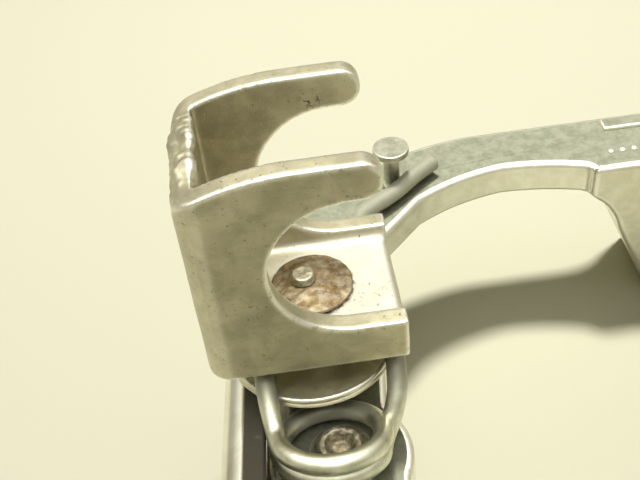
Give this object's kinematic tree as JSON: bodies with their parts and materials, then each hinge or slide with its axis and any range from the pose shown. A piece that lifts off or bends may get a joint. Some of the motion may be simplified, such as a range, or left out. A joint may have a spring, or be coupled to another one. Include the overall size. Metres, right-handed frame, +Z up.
{
  "type": "spring clamp",
  "caption": "Hand-squeezed spring clamp: a two-horned swivelling fork on a sprung lever closes towards a fixed jaw at the end of an arched cast bow.",
  "frame": {"origin": "on the fork's swivel axis, in the flat underside of the lever's web, the face the tool rests on", "axes": "+X from the fork to the fixed jaw, -Y along the handles, +Z up along both pivot axes"},
  "size_m": [0.0696, 0.1041, 0.0462],
  "materials": {
    "fork_steel": "zinc-plated sheet, dull and speckled",
    "lever_steel": "pressed steel, bright nickel finish worn at the edges",
    "bow_alloy": "cast alloy, matte top with polished edges",
    "rivet_steel": "peened steel with surface rust",
    "washer_steel": "dished steel, rust stained",
    "wire_steel": "drawn spring wire, satin",
    "plate_steel": "serrated facing, satin",
    "pin_steel": "turned pin, satin"
  },
  "bodies": {
    "bow": {"bow_arm": "bow_alloy", "jaw_plate": "plate_steel", "jaw_screws": "pin_steel", "pivot_washer": "pin_steel", "head_washer": "pin_steel", "pivot_rivet": "rivet_steel", "spring_stud": "pin_steel", "stop_pin": "pin_steel", "torsion_spring": "wire_steel"},
    "lever": {"lever": "lever_steel", "guard_disc": "lever_steel", "fork_bush": "pin_steel", "tail_washer": "pin_steel", "fork_rivet": "rivet_steel", "fork_washer": "washer_steel"},
    "fork": {"fork_jaw": "fork_steel"}
  },
  "joints": [
    {"name": "lever_pivot", "type": "hinge", "parent": "bow", "child": "lever", "pos_m": [0.0013, -0.0108, 0.0009], "axis": [0, 0, 1], "range_deg": [0, 24], "stiffness_Nm_per_rad": 1.2, "springref_deg": -20.05, "deforming": ["torsion_spring"]},
    {"name": "fork_swivel", "type": "hinge", "parent": "lever", "child": "fork", "pos_m": [0, 0, 0.026], "axis": [0, 0, 1], "range_deg": [-40, 40]}
  ]
}
